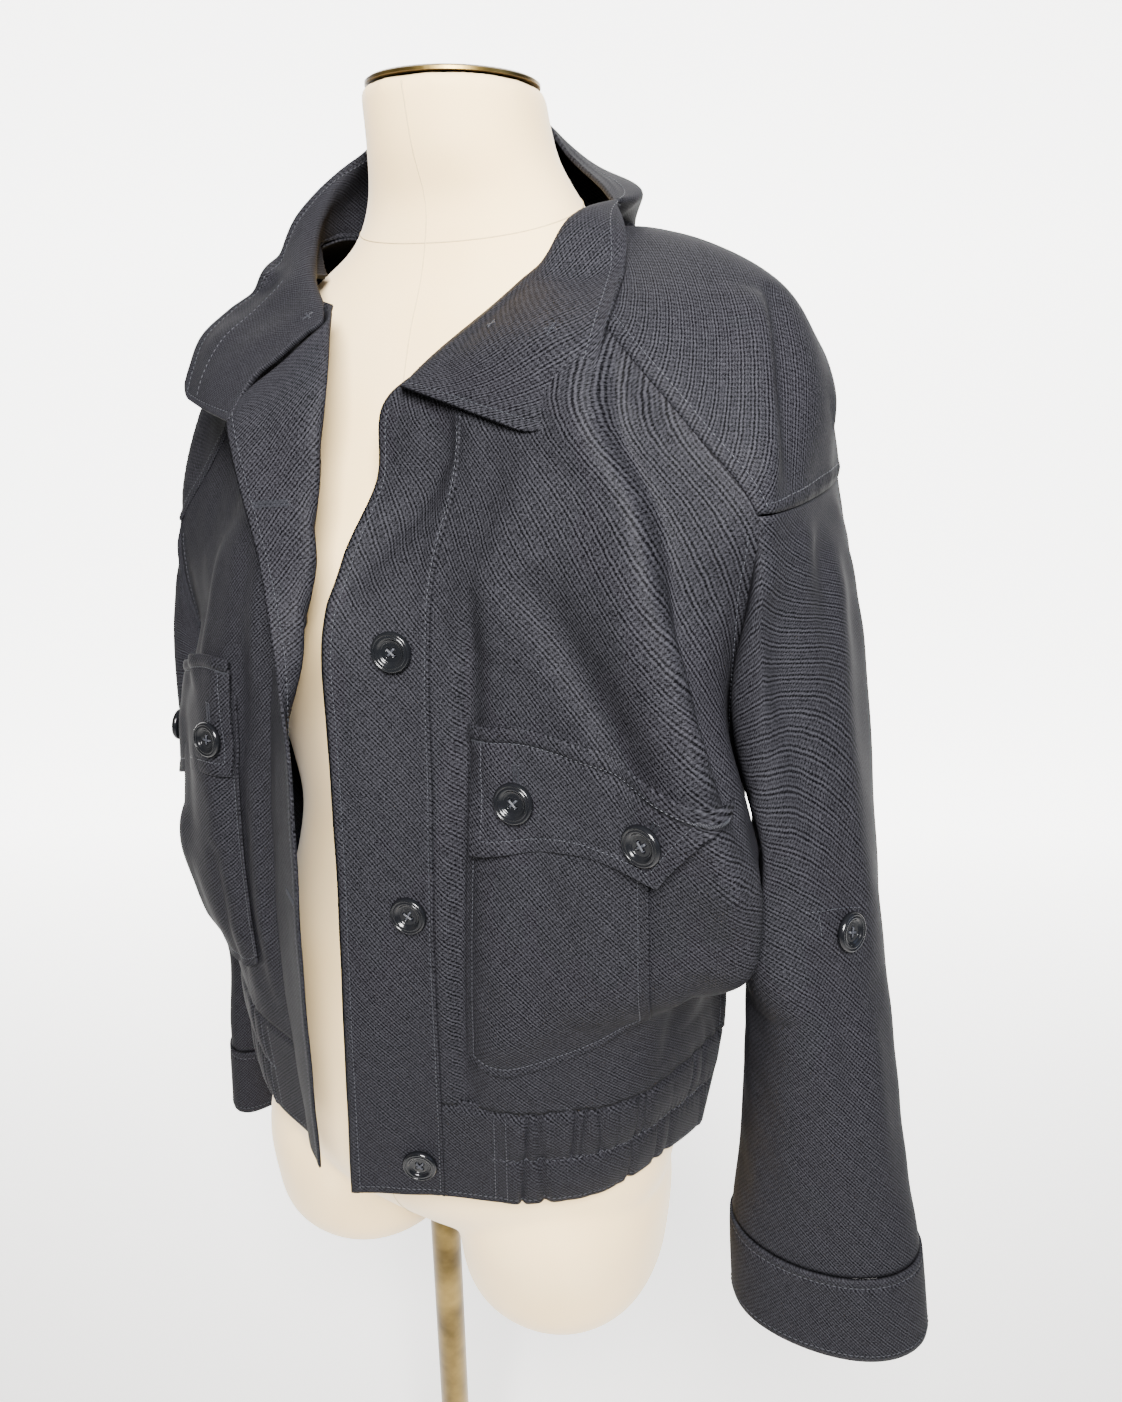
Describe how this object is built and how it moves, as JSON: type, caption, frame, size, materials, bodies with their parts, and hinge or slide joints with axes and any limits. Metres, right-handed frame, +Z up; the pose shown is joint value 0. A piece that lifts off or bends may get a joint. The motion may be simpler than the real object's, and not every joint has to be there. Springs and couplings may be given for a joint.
{
  "type": "utility jacket on a dress form",
  "caption": "Short open utility jacket with a wide collar, patch pockets and an elastic hem, standing on a limbless dress form with a pole and a round base.",
  "frame": {"origin": "centre of the base's underside, on the floor", "axes": "+Z up, the wearer faces -Y, the wearer's left is +X"},
  "size_m": [0.6198, 0.3473, 1.3516],
  "materials": {
    "cloth": "matt woven twill, black",
    "button": "gloss, black, four holes",
    "jersey": "matt cream jersey",
    "brass": "aged satin"
  },
  "bodies": {
    "root": {"back": "cloth", "back_hem_band": "cloth", "base": "brass", "collar": "cloth", "dress_form": "jersey", "left_cuff": "cloth", "left_flap_button_1": "button", "left_flap_button_2": "button", "left_front": "cloth", "left_hem_band": "cloth", "left_placket": "cloth", "left_pocket": "cloth", "left_pocket_flap": "cloth", "left_shoulder": "cloth", "left_sleeve": "cloth", "left_sleeve_button": "button", "neck_cap": "brass", "placket_button_1": "button", "placket_button_2": "button", "placket_button_3": "button", "pole": "brass", "right_cuff": "cloth", "right_flap_button_1": "button", "right_flap_button_2": "button", "right_front": "cloth", "right_hem_band": "cloth", "right_placket": "cloth", "right_pocket": "cloth", "right_pocket_flap": "cloth", "right_shoulder": "cloth", "right_sleeve": "cloth", "right_sleeve_button": "button"}
  },
  "joints": []
}
